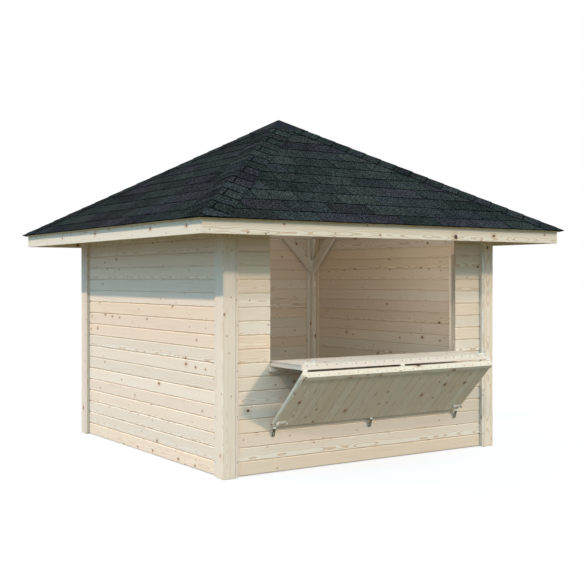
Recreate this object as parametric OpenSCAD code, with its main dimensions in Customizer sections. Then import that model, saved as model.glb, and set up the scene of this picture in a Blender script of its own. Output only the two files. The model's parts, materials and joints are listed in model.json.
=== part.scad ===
// Wooden market stall: a square pine kiosk with a pyramid roof, open eaves and a
// serving opening closed by a two-leaf shutter that folds down into a counter.
// Millimetres, +Z up. The origin lies on the ground under the apex, the serving side
// faces -Y and the photographed near corner is the front left one (-X, -Y).

/* [Stall] */
// Width over the corner posts, the same both ways
stall_w = 3000; // [2400:10:3600]
// Side of a square corner post
post_w = 116; // [90:1:140]
// Height of the corner posts, up to the wall plates
post_h = 2095; // [1950:5:2300]
// Height of a wall plate, laid on the posts
plate_h = 150; // [110:5:180]
// Play between sloping faces of the roof that lie on each other
lay_gap = 0.1; // [0.05:0.05:0.3]

/* [Walls] */
// Thickness of the wall boards
board_t = 22; // [18:1:30]
// Set-back of the boards behind the faces of the posts
wall_setback = 28; // [15:1:45]
// Gap between the lowest board and the ground
wall_lift = 8; // [0:1:30]
// Width of the outer strips that hold the boards beside a post
trim_w = 30; // [20:1:60]
// Thickness of the outer strips
trim_t = 27; // [10:1:28]
// Joint between an outer strip and its post
trim_play = 1.5; // [0:0.5:3]
// Width of the strips inside the boards
strip_w = 42; // [25:1:60]
// Thickness of the strips inside the boards
strip_t = 18; // [10:1:25]
// Thickness of a knee brace
brace_t = 45; // [30:1:60]
// Distance from the plate down to the foot of a knee brace
brace_rise = 422; // [300:1:600]
// Height of a knee brace on the face of the post
brace_cut = 155; // [90:1:200]

/* [Serving opening] */
// Clear width of the opening
opening_w = 2072; // [1600:2:2300]
// Depth of the opening from the outer board face, studs included
jamb_depth = 86; // [60:1:120]
// Width of a jamb stud
stud_w = 45; // [35:1:60]
// Distance from the plate down to the tops of the jamb studs
stud_short = 249; // [100:1:400]
// Height of the counter's top face
counter_top = 935; // [850:1:1000]
// Height of the boards over the opening
header_h = 91; // [50:1:200]
// Height of the sill board
sill_t = 26; // [18:1:35]
// Projection of the ledger under the counter
ledger_d = 38; // [25:1:60]
// Reach of the ledger beyond the opening at either end
ledger_over = 20; // [0:1:40]
// Height of the ledger
ledger_h = 33; // [20:1:60]

/* [Folding shutter] */
// Thickness of both shutter leaves
leaf_t = 46; // [36:1:60]
// Thickness of the boards that skin a leaf
skin_t = 20; // [15:1:28]
// Width of the battens that frame a leaf
batten_w = 34; // [25:1:60]
// Width of the strip along the outer leaf's fold edge
fold_strip_w = 44; // [30:1:60]
// Thickness of that strip
fold_strip_t = 10; // [6:1:20]
// Distance from the outer leaf's left end to the strip
fold_strip_left = 27; // [0:1:60]
// Distance from the outer leaf's right end to the strip
fold_strip_right = 8; // [0:1:60]
// Distance of the counter's cross battens from the middle
crossbar_x = 360; // [200:10:500]
// Side gap between a leaf and its opening
leaf_gap = 6; // [5:1:12]
// Gap between the edge of a leaf and its fold pin
edge_gap = 4; // [3:0.5:8]
// Distance of the sill hinge's pin behind the outer board face
pin_setback = 10; // [8:1:20]
// Angle between the counter and the outer leaf, folded back under it
fold_deg = 45; // [40:1:50]
// Gap between the wall and the end of the folded outer leaf
lean_gap = 9.2; // [7:0.1:15]
// Gap between the closed outer leaf and the boards over the opening
head_gap = 7.5; // [5:0.5:15]

/* [Fittings] */
// Distance from a leaf's face to its hinge pin
pin_offset = 6.5; // [5.5:0.5:10]
// Radius of a hinge knuckle
knuckle_r = 5; // [4:0.5:7]
// Radius of a hinge pin
pin_r = 2.5; // [2:0.5:4]
// Thickness of hinge, hasp and bracket plates
plate_t = 3; // [2:0.5:4]
// Length of a hinge along its pin
hinge_l = 42; // [36:2:80]
// Width of a hinge plate
hinge_w = 30; // [25:1:36]
// Distance from the end of a leaf to the middle of its outer hinges
hinge_inset = 28; // [24:1:300]
// Play between the knuckles of a hinge
knuckle_gap = 0.5; // [0.3:0.1:1]
// Play around a hinge pin
pin_play = 0.3; // [0.2:0.1:0.6]
// Length of a hasp strap
hasp_l = 88; // [60:1:120]
// Width of a hasp strap
hasp_w = 27; // [20:1:40]
// Angle of the hanging hasp strap off the leaf
hasp_deg = 27; // [0:1:60]
// Distance from the end of a leaf to the middle of its outer hasps
hasp_inset = 16; // [15:1:200]
// Length of the slot in a hasp strap
slot_l = 30; // [20:1:40]
// Radius of the slot's ends
slot_r = 4.5; // [3:0.5:6]
// Length of a bar bracket
bracket_l = 92; // [50:1:120]
// Width of a bar bracket
bracket_w = 25; // [15:1:40]
// Height of a bar bracket's prongs
bracket_h = 25; // [15:1:40]
// Distance from the edge of a leaf to the middle of its bar brackets
bracket_edge = 54; // [30:1:90]
// Distance from the counter's left end to its bar bracket
bracket_left = 58; // [5:1:100]
// Distance from the counter's right end to its bar bracket
bracket_right = 14; // [5:1:100]
// Distance from the outer leaf's ends to its bar brackets
flap_bracket_inset = 5; // [0:1:100]

/* [Roof] */
// Pitch of the four slopes
roof_deg = 30; // [20:0.5:40]
// Depth of the notch that seats a rafter on the outer edge of its plate
rafter_seat = 30.7; // [15:0.1:45]
// Reach of the shingles beyond the posts
eave_reach = 471; // [250:1:600]
// Reach of the fascia boards beyond the posts
fascia_reach = 425; // [200:1:550]
// Projection of the shingles beyond the boarding
drip = 10; // [5:1:20]
// Height of a fascia board's outer face
fascia_h = 120; // [90:1:160]
// Thickness of a fascia board
fascia_t = 22; // [18:1:30]
// Thickness of the roof boarding
deck_t = 18; // [15:1:25]
// Thickness of the shingle layers
shingle_t = 8; // [5:1:12]
// Thickness of the hip and apex caps
cap_t = 5; // [3:1:8]
// Half width of a hip cap in plan
hip_cap_w = 150; // [80:1:150]
// Half width of the apex cap in plan
apex_cap_w = 215; // [120:5:300]
// Depth of a rafter
rafter_d = 90; // [70:1:130]
// Thickness of a rafter
rafter_t = 45; // [35:1:60]
// Depth of a hip rafter
hip_d = 120; // [90:1:160]
// Distance of the jack rafters from the middle of a slope
jack_x = 700; // [500:10:900]
// Size of the apex block over its flats
block_w = 150; // [120:5:200]
// Height of the apex block
block_h = 220; // [160:10:300]

/* [Back door] */
// Middle of the door on the back wall
door_x = -480; // [-700:10:300]
// Width of the doorway in the boards
door_w = 900; // [700:10:1100]
// Height of the boards over the doorway
door_head = 135; // [60:5:250]
// Side of the frame members
door_frame_w = 45; // [35:1:60]
// Gap around the door leaf
door_gap = 4; // [2:1:8]
// Thickness of the door leaf
door_t = 40; // [28:1:50]
// Length of a strap hinge on the door
strap_l = 420; // [250:10:600]
// Height of a strap hinge
strap_h = 36; // [25:1:50]
// Distance from the ends of the doorway to the strap hinges
strap_inset = 320; // [150:10:500]
// Distance of a strap hinge from the outer edge of the frame
strap_edge = 4; // [2:1:20]
// Height of the middle of the pull
pull_z = 1020; // [900:10:1100]
// Length of the pull
pull_l = 160; // [120:5:220]
// Radius of the pull's bar
pull_r = 8; // [6:0.5:10]
// Distance of the pull's bar from the door
pull_out = 42; // [35:1:60]
// Distance of the pull from the edge of the leaf
pull_inset = 66; // [50:1:120]
// Distance of the pull's feet from the ends of its bar
pull_foot = 20; // [15:1:40]

/* [Hidden] */
$fn = 48;
pine = [0.86, 0.79, 0.68];
pine_light = [0.91, 0.86, 0.76];
felt = [0.17, 0.19, 0.21];
felt_cap = [0.16, 0.17, 0.20];
zinc = [0.72, 0.74, 0.74];

half = stall_w / 2;
post_in = half - post_w;
wall_out = half - wall_setback;
wall_in = wall_out - board_t;
plate_top = post_h + plate_h;

roof_tan = tan(roof_deg);
roof_cos = cos(roof_deg);
cap_v = cap_t / roof_cos;
shingle_v = shingle_t / roof_cos;
deck_v = deck_t / roof_cos;
under_v = shingle_v + lay_gap + deck_v;
frame_v = under_v + lay_gap;
rafter_v = rafter_d / roof_cos;
hip_v = hip_d / cos(atan(roof_tan / sqrt(2)));
shingle_apex = plate_top - rafter_seat + rafter_v + frame_v + half * roof_tan;
apex_z = shingle_apex + lay_gap + cap_v;
roof_r = half + eave_reach;
deck_r = roof_r - drip;
fascia_out = half + fascia_reach;
fascia_in = fascia_out - fascia_t;
fascia_z = shingle_apex - fascia_out * roof_tan - frame_v - fascia_h;
block_r = block_w / 2;
door_h = post_h - door_head;

open_half = opening_w / 2;
leaf_half = open_half - leaf_gap;
stud_in = wall_out - jamb_depth;
stud_top = post_h - stud_short;
counter_under = counter_top - leaf_t;
pin_z = counter_under - pin_offset;
sill_top = pin_z - pin_offset;
ledger_top = counter_under - pin_offset - plate_t + 0.5;
sill_pin_y = -(wall_out - pin_setback);
header_z = post_h - header_h;
// Both leaves fill the opening, and the folded outer one just reaches the wall
shutter_h = header_z - head_gap - pin_z;
lean = pin_setback + lean_gap - pin_offset * sin(fold_deg);
counter_pitch = (shutter_h * cos(fold_deg) + lean) / (1 + cos(fold_deg));
flap_end = shutter_h - counter_pitch;
fold_pin_y = sill_pin_y - counter_pitch;
knuckle_l = hinge_l / 3;
hinge_xs = [-(leaf_half - hinge_inset), 0, leaf_half - hinge_inset];
hasp_xs = [-(leaf_half - hasp_inset), 0, leaf_half - hasp_inset];
bracket_xs = [-leaf_half + bracket_left + bracket_l / 2, leaf_half - bracket_right - bracket_l / 2];
flap_bracket_x = leaf_half - flap_bracket_inset - bracket_l / 2;

// Which sub-part to build

// Box between two opposite corners
module block(x, y, z) {
    translate([x[0], y[0], z[0]])
        cube([x[1] - x[0], y[1] - y[0], z[1] - z[0]]);
}

// Outline in the YZ plane, drawn out along X
module along_x(x) {
    translate([x[0], 0, 0])
        rotate([90, 0, 90])
            linear_extrude(x[1] - x[0])
                children();
}

// Outline in the XZ plane, drawn out along Y
module along_y(y) {
    translate([0, y[1], 0])
        rotate([90, 0, 0])
            linear_extrude(y[1] - y[0])
                children();
}

// The front piece again on the other sides: 1 right, 2 back, 3 left
module side(turn) {
    rotate([0, 0, 90 * turn])
        children();
}

// The piece and its mirror image across the middle
module both_ways() {
    children();
    mirror([1, 0, 0])
        children();
}

// Height of a roof layer at a distance from the middle
function slope_z(r, drop) = shingle_apex - r * roof_tan - drop;

// Everything under a roof layer: two crossing gables
module below_roof(drop) {
    reach = roof_r + 50;
    intersection_for(turn = [0, 1])
        side(turn)
            along_x([-reach, reach])
                polygon([
                    [-reach, 0], [reach, 0], [reach, slope_z(reach, drop)],
                    [0, slope_z(0, drop)], [-reach, slope_z(reach, drop)]
                ]);
}

// One slope of a roof layer, mitred along its hips
module slope(reach, top, bottom) {
    intersection() {
        along_x([-reach, reach])
            polygon([
                [-reach, slope_z(reach, bottom)], [-reach, slope_z(reach, top)],
                [0, slope_z(0, top)], [0, slope_z(0, bottom)]
            ]);
        linear_extrude(2 * apex_z)
            polygon([[-reach, -reach], [reach, -reach], [0, 0]]);
    }
}

// Posts, plates and braces

module post(x, y) {
    color(pine)
        translate([x * (half - post_w / 2), y * (half - post_w / 2), 0])
            translate([-post_w / 2, -post_w / 2, 0])
                cube([post_w, post_w, post_h]);
}

module post_front_left() { post(-1, -1); }
module post_front_right() { post(1, -1); }
module post_back_left() { post(-1, 1); }
module post_back_right() { post(1, 1); }

module plates_front_back() {
    color(pine)
        for (turn = [0, 2])
            side(turn)
                block([-half, half], [-half, -post_in], [post_h, plate_top]);
}

module plates_sides() {
    color(pine)
        for (turn = [1, 3])
            side(turn)
                block([-post_in, post_in], [-half, -post_in], [post_h, plate_top]);
}

// Strut at 45 degrees between the post on the right and the plate over it
module knee_brace() {
    foot_z = post_h - brace_rise;
    along_y([-post_in - brace_t, -post_in])
        polygon([
            [post_in, foot_z], [post_in, foot_z + brace_cut],
            [post_in - brace_rise + brace_cut, post_h], [post_in - brace_rise, post_h]
        ]);
}

module knee_braces() {
    color(pine)
        for (turn = [1, 2, 3])
            side(turn)
                both_ways()
                    knee_brace();
}

// Walls

module wall_slab(x, z) {
    color(pine_light)
        block(x, [-wall_out, -wall_in], z);
}

module full_wall() { wall_slab([-post_in, post_in], [wall_lift, post_h]); }

module left_wall() { side(3) full_wall(); }
module right_wall() { side(1) full_wall(); }

// Doorway, seen from outside the back wall, where X runs the other way
module back_wall() {
    side(2)
        difference() {
            full_wall();
            block([-door_x - door_w / 2, -door_x + door_w / 2], [-wall_out - 1, -wall_in + 1],
                [0, door_h]);
        }
}

module front_wall_right() { wall_slab([open_half, post_in], [wall_lift, post_h]); }
module front_wall_left() { mirror([1, 0, 0]) front_wall_right(); }
module front_wall_below() {
    wall_slab([-open_half, open_half], [wall_lift, sill_top - sill_t]);
}
module front_wall_over() { wall_slab([-open_half, open_half], [header_z, post_h]); }

module corner_trims() {
    color(pine)
        for (turn = [0:3])
            side(turn)
                both_ways() {
                    block([post_in - trim_w, post_in - trim_play],
                        [-wall_out - trim_t, -wall_out], [wall_lift, post_h]);
                    block([post_in - strip_w, post_in],
                        [-wall_in, -wall_in + strip_t], [wall_lift, post_h]);
                }
}

// Serving opening

module jamb_studs() {
    color(pine)
        both_ways()
            block([open_half, open_half + stud_w], [-wall_in, -stud_in], [wall_lift, stud_top]);
}

module sill_board() {
    color(pine)
        block([-open_half, open_half], [-wall_out, -stud_in], [sill_top - sill_t, sill_top]);
}

module counter_ledger() {
    reach = open_half + ledger_over;
    color(pine)
        block([-reach, reach], [-wall_out - ledger_d, -wall_out], [ledger_top - ledger_h, ledger_top]);
}

// Back door, closed

module door_frame() {
    depth = [-wall_out, -stud_in];
    outer = door_w / 2;
    inner = outer - door_frame_w;
    color(pine)
        side(2)
            translate([-door_x, 0, 0])
                difference() {
                    block([-outer, outer], depth, [wall_lift, door_h]);
                    block([-inner, inner], [-wall_out - 1, -stud_in + 1], [0, door_h - door_frame_w]);
                }
}

module door_leaf() {
    leaf = door_w / 2 - door_frame_w - door_gap;
    color(pine_light)
        side(2)
            translate([-door_x, 0, 0])
                block([-leaf, leaf], [-wall_out, -wall_out + door_t],
                    [wall_lift + door_gap, door_h - door_frame_w - door_gap]);
}

module door_fittings() {
    edge = door_w / 2;
    hinge_side = edge - door_frame_w;
    color(zinc)
        side(2)
            translate([-door_x, -wall_out, 0]) {
                for (z = [strap_inset, door_h - strap_inset - strap_h])
                    block([hinge_side - strap_l, edge - strap_edge], [-plate_t, 0], [z, z + strap_h]);
                translate([-hinge_side + door_gap + pull_inset, 0, pull_z]) {
                    translate([0, -pull_out, -pull_l / 2])
                        cylinder(r = pull_r, h = pull_l);
                    for (z = [-pull_l / 2 + pull_foot, pull_l / 2 - pull_foot])
                        translate([0, 0, z])
                            rotate([90, 0, 0])
                                cylinder(r = pull_r - 1, h = pull_out);
                }
            }
}

// Roof frame

module apex_block() {
    top = slope_z(0, frame_v);
    color(pine)
        intersection() {
            translate([0, 0, top - block_h])
                rotate([0, 0, 22.5])
                    cylinder(r = block_r / cos(22.5), h = block_h, $fn = 8);
            below_roof(frame_v);
        }
}

// Space taken by the plates, from which the rafters are notched
module plate_ring() {
    for (turn = [0:3])
        side(turn)
            block([-half, half], [-half, -post_in], [post_h, plate_top]);
}

// Rafter of the front slope between two distances from the middle
module rafter(x, r) {
    along_x([x - rafter_t / 2, x + rafter_t / 2])
        polygon([
            [-r[1], slope_z(r[1], frame_v + rafter_v)], [-r[1], slope_z(r[1], frame_v)],
            [-r[0], slope_z(r[0], frame_v)], [-r[0], slope_z(r[0], frame_v + rafter_v)]
        ]);
}

module common_rafters() {
    color(pine)
        for (turn = [0:3])
            side(turn)
                difference() {
                    rafter(0, [block_r + lay_gap, fascia_in]);
                    plate_ring();
                }
}

// Rafter from the eave up to the cheek of a hip rafter
module jack_rafters() {
    cheek = rafter_t / sqrt(2);
    color(pine)
        for (turn = [0:3])
            side(turn)
                both_ways()
                    difference() {
                        intersection() {
                            rafter(jack_x, [jack_x, fascia_in]);
                            linear_extrude(apex_z)
                                polygon([[0, -cheek], [fascia_in, -cheek - fascia_in], [0, -cheek - fascia_in]]);
                        }
                        plate_ring();
                    }
}

// Rafter under a hip, bevelled to both slopes and cut to the corner of the fascias
module hip_rafter() {
    run = fascia_in * sqrt(2);
    head = block_r + lay_gap;
    hip_z = [for (s = [head, run]) slope_z(s / sqrt(2), frame_v)];
    difference() {
        intersection() {
            rotate([0, 0, 45])
                along_x([-rafter_t / 2, rafter_t / 2])
                    polygon([
                        [-run, hip_z[1] - hip_v], [-run, hip_z[1]],
                        [-head, hip_z[0]], [-head, hip_z[0] - hip_v]
                    ]);
            below_roof(frame_v);
            block([-fascia_in, fascia_in], [-fascia_in, fascia_in], [0, apex_z]);
        }
        plate_ring();
    }
}

module hip_rafters() {
    color(pine)
        for (turn = [0:3])
            side(turn)
                hip_rafter();
}

// Fascia of the front eave, bevelled under the boarding
module fascia(reach) {
    intersection() {
        block([-reach, reach], [-fascia_out, -fascia_in], [fascia_z, apex_z]);
        below_roof(frame_v);
    }
}

module fascias_front_back() {
    color(pine_light)
        for (turn = [0, 2])
            side(turn)
                fascia(fascia_out);
}

module fascias_sides() {
    color(pine_light)
        for (turn = [1, 3])
            side(turn)
                fascia(fascia_in);
}

// Roof covering

module deck(turn) {
    color(pine)
        side(turn)
            slope(deck_r, shingle_v + lay_gap, under_v);
}

module roof_deck_front() { deck(0); }
module roof_deck_right() { deck(1); }
module roof_deck_back() { deck(2); }
module roof_deck_left() { deck(3); }

module shingles(turn) {
    color(felt)
        side(turn)
            slope(roof_r, 0, shingle_v);
}

module shingles_front() { shingles(0); }
module shingles_right() { shingles(1); }
module shingles_back() { shingles(2); }
module shingles_left() { shingles(3); }

// Sheet of cap thickness lying over all four slopes
module cap_sheet() {
    difference() {
        below_roof(-lay_gap - cap_v);
        below_roof(-lay_gap);
    }
}

module hip_caps() {
    color(felt_cap)
        for (turn = [0:3])
            intersection() {
                cap_sheet();
                side(turn)
                    difference() {
                        rotate([0, 0, 45])
                            block([-hip_cap_w, hip_cap_w], [-2 * roof_r, 0], [fascia_z, apex_z]);
                        block([-apex_cap_w, apex_cap_w], [-apex_cap_w, apex_cap_w], [0, 2 * apex_z]);
                    }
                block([-roof_r, roof_r], [-roof_r, roof_r], [0, 2 * apex_z]);
            }
}

module apex_cap() {
    color(felt_cap)
        intersection() {
            cap_sheet();
            block([-apex_cap_w, apex_cap_w], [-apex_cap_w, apex_cap_w], [0, 2 * apex_z]);
        }
}

// Shutter leaves and fittings. Both leaves are drawn laid flat, and the outer one is
// then folded back under the counter about the fold pin.

module folded() {
    translate([0, fold_pin_y, pin_z])
        rotate([180 - fold_deg, 0, 0])
            translate([0, -fold_pin_y, -pin_z])
                children();
}

// Boarded leaf with battens under its edges and under its boards
module shutter_leaf(y, crossbars) {
    boards_z = counter_top - skin_t;
    battens = [counter_under, boards_z];
    block([-leaf_half, leaf_half], y, [boards_z, counter_top]);
    block([-leaf_half, leaf_half], [y[0], y[0] + batten_w], battens);
    block([-leaf_half, leaf_half], [y[1] - batten_w, y[1]], battens);
    both_ways()
        block([leaf_half - batten_w, leaf_half], y, battens);
    for (x = crossbars)
        block([x - batten_w, x + batten_w], y, battens);
}

module counter_panel() {
    color(pine_light)
        shutter_leaf([fold_pin_y + edge_gap, sill_pin_y - edge_gap / 2], [-crossbar_x, crossbar_x]);
}

module flap_panel() {
    fold_edge = fold_pin_y - edge_gap;
    color(pine_light)
        folded() {
            shutter_leaf([fold_pin_y - flap_end, fold_edge], []);
            block([-leaf_half + fold_strip_left, leaf_half - fold_strip_right],
                [fold_edge - fold_strip_w, fold_edge], [counter_top, counter_top + fold_strip_t]);
        }
}

// Half of a butt hinge on the pin at y: the plate runs to dir, under z face side up
module hinge_plate(y, dir, up) {
    plate_y = dir > 0 ? [y + knuckle_gap, y + hinge_w] : [y - hinge_w, y - knuckle_gap];
    face = pin_z + up * pin_offset;
    plate_z = up > 0 ? [face - plate_t, face] : [face, face + plate_t];
    block([-hinge_l / 2, hinge_l / 2], plate_y, plate_z);
}

module knuckle(y, x) {
    translate([x[0], y, pin_z])
        rotate([0, 90, 0])
            cylinder(r = knuckle_r, h = x[1] - x[0]);
}

// Space in a hinge plate for the knuckles of the other half
module knuckle_room(y, x) {
    translate([x[0] - knuckle_gap, y, pin_z])
        rotate([0, 90, 0])
            cylinder(r = knuckle_r + 1, h = x[1] - x[0] + 2 * knuckle_gap);
}

// Half with the middle knuckle and the pin
module hinge_pin_half(y, dir, up) {
    mid = [-knuckle_l / 2, knuckle_l / 2];
    difference() {
        hinge_plate(y, dir, up);
        for (s = [-1, 1])
            knuckle_room(y, [s * knuckle_l - knuckle_l / 2, s * knuckle_l + knuckle_l / 2]);
    }
    knuckle(y, mid);
    translate([-hinge_l / 2, y, pin_z])
        rotate([0, 90, 0])
            cylinder(r = pin_r, h = hinge_l);
}

// Half with the two outer knuckles, bored for the pin
module hinge_bore_half(y, dir, up) {
    mid = [-knuckle_l / 2, knuckle_l / 2];
    difference() {
        union() {
            difference() {
                hinge_plate(y, dir, up);
                knuckle_room(y, mid);
            }
            for (s = [-1, 1])
                knuckle(y, s > 0 ? [mid[1] + knuckle_gap, hinge_l / 2] : [-hinge_l / 2, mid[0] - knuckle_gap]);
        }
        translate([-hinge_l, y, pin_z])
            rotate([0, 90, 0])
                cylinder(r = pin_r + pin_play, h = 2 * hinge_l);
    }
}

module sill_hinges() {
    color(zinc)
        for (x = hinge_xs)
            translate([x, 0, 0])
                hinge_pin_half(sill_pin_y, 1, -1);
}

module counter_hinges() {
    color(zinc)
        for (x = hinge_xs)
            translate([x, 0, 0]) {
                hinge_bore_half(sill_pin_y, -1, 1);
                hinge_pin_half(fold_pin_y, 1, 1);
            }
}

module flap_hinges() {
    color(zinc)
        folded()
            for (x = hinge_xs)
                translate([x, 0, 0])
                    hinge_bore_half(fold_pin_y, -1, 1);
}

// Strap with two upright prongs that takes a bar across the closed shutter
module bar_bracket() {
    along_y([-bracket_w / 2, bracket_w / 2])
        difference() {
            translate([-bracket_l / 2, 0])
                square([bracket_l, bracket_h]);
            translate([-bracket_l / 2 + plate_t, plate_t])
                square([bracket_l - 2 * plate_t, bracket_h]);
        }
}

module counter_brackets() {
    color(zinc)
        for (x = bracket_xs)
            translate([x, fold_pin_y + edge_gap + bracket_edge, counter_top])
                bar_bracket();
}

module flap_brackets() {
    color(zinc)
        folded()
            for (x = [-flap_bracket_x, flap_bracket_x])
                translate([x, fold_pin_y - flap_end + bracket_edge, counter_top])
                    bar_bracket();
}

// Plate on the end of the leaf, knuckle and slotted strap with a round end
module hasp() {
    end_y = fold_pin_y - flap_end;
    turn_r = knuckle_r - 1;
    turn_y = end_y - plate_t - turn_r + 2;
    turn_z = counter_top - turn_r;
    side_x = hasp_w / 2;
    round_y = -hasp_l + side_x;
    slot_y = [round_y, round_y + slot_l - 2 * slot_r];
    block([-side_x + 1, side_x - 1], [end_y - plate_t, end_y], [counter_under, turn_z]);
    translate([-side_x - 1, turn_y, turn_z])
        rotate([0, 90, 0])
            cylinder(r = turn_r, h = hasp_w + 2);
    translate([0, turn_y, turn_z])
        rotate([-hasp_deg, 0, 0])
            translate([0, 0, -plate_t / 2])
                difference() {
                    linear_extrude(plate_t)
                        polygon([
                            [side_x, 0], [-side_x, 0],
                            for (a = [0:15:180]) [-side_x * cos(a), round_y - side_x * sin(a)]
                        ]);
                    for (y = slot_y)
                        translate([0, y, -1])
                            cylinder(r = slot_r, h = plate_t + 2);
                    block([-slot_r + 0.3, slot_r - 0.3], slot_y, [-1, plate_t + 1]);
                }
}

module hasps() {
    color(zinc)
        folded()
            for (x = hasp_xs)
                translate([x, 0, 0])
                    hasp();
}

post_front_left();
post_front_right();
post_back_left();
post_back_right();
plates_front_back();
plates_sides();
knee_braces();
left_wall();
right_wall();
back_wall();
front_wall_left();
front_wall_right();
front_wall_below();
front_wall_over();
corner_trims();
jamb_studs();
sill_board();
counter_ledger();
door_frame();
door_leaf();
door_fittings();
apex_block();
hip_rafters();
common_rafters();
jack_rafters();
fascias_front_back();
fascias_sides();
roof_deck_front();
roof_deck_right();
roof_deck_back();
roof_deck_left();
shingles_front();
shingles_right();
shingles_back();
shingles_left();
hip_caps();
apex_cap();
sill_hinges();
counter_panel();
counter_hinges();
counter_brackets();
flap_panel();
flap_hinges();
flap_brackets();
hasps();
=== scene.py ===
"""Looks of the wooden market stall: boards, shingles, fittings, finishes, light and camera.

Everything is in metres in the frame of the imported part: +Z up, the serving side faces -Y.
Pieces are sized from the frame's nodes. Named values below are what the nodes don't hold.
"""

import json
import math
import random

import bmesh
import bpy
from mathutils import Matrix, Vector

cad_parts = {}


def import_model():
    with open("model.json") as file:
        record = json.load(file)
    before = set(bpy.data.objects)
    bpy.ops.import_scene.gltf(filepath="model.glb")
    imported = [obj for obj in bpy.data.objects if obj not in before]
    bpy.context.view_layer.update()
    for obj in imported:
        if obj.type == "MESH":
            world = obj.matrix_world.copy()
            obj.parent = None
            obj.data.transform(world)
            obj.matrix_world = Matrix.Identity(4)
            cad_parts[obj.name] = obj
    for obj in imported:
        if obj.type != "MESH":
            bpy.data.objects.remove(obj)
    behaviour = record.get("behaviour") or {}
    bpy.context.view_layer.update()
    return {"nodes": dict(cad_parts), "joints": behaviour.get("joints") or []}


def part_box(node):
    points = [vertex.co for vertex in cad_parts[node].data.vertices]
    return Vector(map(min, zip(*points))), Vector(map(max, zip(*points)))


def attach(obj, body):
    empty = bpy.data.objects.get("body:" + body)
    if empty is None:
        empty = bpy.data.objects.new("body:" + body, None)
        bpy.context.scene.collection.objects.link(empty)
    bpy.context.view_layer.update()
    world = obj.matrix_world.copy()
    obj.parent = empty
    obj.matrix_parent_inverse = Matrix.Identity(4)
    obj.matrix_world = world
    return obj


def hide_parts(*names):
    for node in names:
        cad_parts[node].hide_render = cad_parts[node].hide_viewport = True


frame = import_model()
scene = bpy.context.scene

# Wall boards
ROW = 0.1144
WALL_GROOVE = 0.0070
WALL_CREST = 0.0038
WALL_GAP = 0.0046
BOARD_GAP = 0.0008
TONGUE_L = 0.008
TONGUE_T = 0.006
TONGUE_SLACK = 0.0006

# Shutter leaves and door
LEAF_BOARDS = 21
LEAF_SKIN = 0.020
LEAF_BATTEN = 0.034
LEAF_GROOVE = 0.0016
CROSSBAR_X = 0.360
STRIP_W = 0.044
STRIP_LEFT = 0.027
STRIP_RIGHT = 0.008
DOOR_BOARDS = 7
DOOR_SKIN = 0.022
DOOR_LEDGE_W = 0.110
DOOR_LEDGE_INSET = 0.200
DOOR_STRAP_H = 0.036
DOOR_STRAP_T = 0.003
DOOR_SCREWS_X = (0.030, 0.140, 0.280, 0.420)

# Roof
PITCH = math.radians(30)
DECK_ROW = 0.120
DECK_T = 0.018
DECK_TOP = -0.0082
DECK_GROOVE = 0.003
DECK_RIDGE = 0.03
SHINGLE_T = 0.0042
STARTER_T = 0.0080
EAVE_COURSE = 0.166
COURSE = 0.193
COURSE_LAP = 0.050
TOP_COURSE = 0.02
TAB_W = 0.4225
TAB_PHASE = 0.008
TAB_SLOT = 0.0065
TAB_TOP = -0.0009
TAB_FALL = 0.0055
TAB_CURL = (-0.0004, 0.0009)
TAB_SKEW = 0.0022
UNDERLAY_TOP = -0.0068
UNDERLAY_T = 0.0012
UNDERLAY_INSET = 0.004
CAP_EXPOSURE = 0.1655
CAP_STARTS = (0.560, 0.622, 0.622, 0.684)
CAP_LAP = 0.045
CAP_HALF_W = 0.187
CAP_T = 0.0034
CAP_FALL = 0.0050
# Half length of the dark bed under a cap's butt, which is painted shade.
CAP_SHADE_BED = 0.009
CAP_SLOT = 0.0105
CAP_SLOT_AT = 0.040
CAP_TOP = 0.0050
CAP_SLOT_DROP = 0.0031
CAP_SLOT_T = 0.0008
CAP_LIFT = 0.0006
CAP_TILT = 0.004
CAP_WIDTHS = (-0.010, 0.008)
TOP_CAP = 0.05
APEX_CAP_S = 0.248
APEX_CAP_TOP = 0.0056
APEX_CAP_T = 0.0024
APEX_HEM_W = 0.003
APEX_HEM_T = 0.0032
UNDER_APEX_CAP = 0.8
# Painted shade of the side slopes' felt, multiplied into its tone.
SIDE_SLOPE_PAINTED_SHADE = (0.86, 0.82, 0.83, 1.0)

# Fittings and edges
# Height above which the hasps' steel is drawn near white as a painted highlight.
HASP_HIGHLIGHT_Z = 0.376
TIMBER_EASE = 0.0035
TRIM_EASE = 0.0018
METAL_EASE = 0.0004
NAIL_R = 0.0044
NAIL_H = 0.0009
SCREW_R = 0.0040
SCREW_H = 0.0014
TRIM_NAIL_ROWS = 6
TRIM_NAIL_END = 0.12
TRIM_NAIL_INSET = 0.016
FASCIA_NAILS_X = (-1.86, -1.34, -0.70, 0.0, 0.70, 1.34, 1.86)
FASCIA_NAILS_Z = (0.030, 0.022)
LEAF_NAIL_SHARE = 0.55

# Grain of each piece, and how it is read from the CAD solids
PITH_DEPTH = (0.018, 0.060)
GRAIN_RUN = 40
GRAIN_ASIDE = 0.05
END_GRAIN = 0.7
NARROW_FACE_SHIFT = 9.0
WELD = 1e-5
FLAT_ANGLE = math.radians(1)
SHARP_ANGLE = math.radians(25)
BESIDE = 0.2
ON_HIP = 1e-6
GRAIN_ORDER = Vector((1.0, 2.3, 3.7))

# Seeds of the chance values
LEFT_WALL_SEED = 28692
RIGHT_WALL_SEED = 12
BACK_WALL_SEED = 13
FRONT_WALL_SEED = 46205
HIP_CAP_SEED = 31
HIP_LAY_SEED = 81
APEX_CAP_SEED = 32
UNDERLAY_SEED = 33
SHINGLE_SEED = 40
SHINGLE_LAY_SEED = 90
DECK_SEED = 60
COUNTER_SEED = 71
FLAP_SEED = 72
COUNTER_NAIL_SEED = 73
FLAP_NAIL_SEED = 74
TRIM_NAIL_SEED = 75
DOOR_SEED = 76
SCREW_SEED = 77
TRIM_SEED = 130
FASCIA_SEED = 131
METAL_SEED = 140
TIMBER_SEED = 362195


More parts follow.
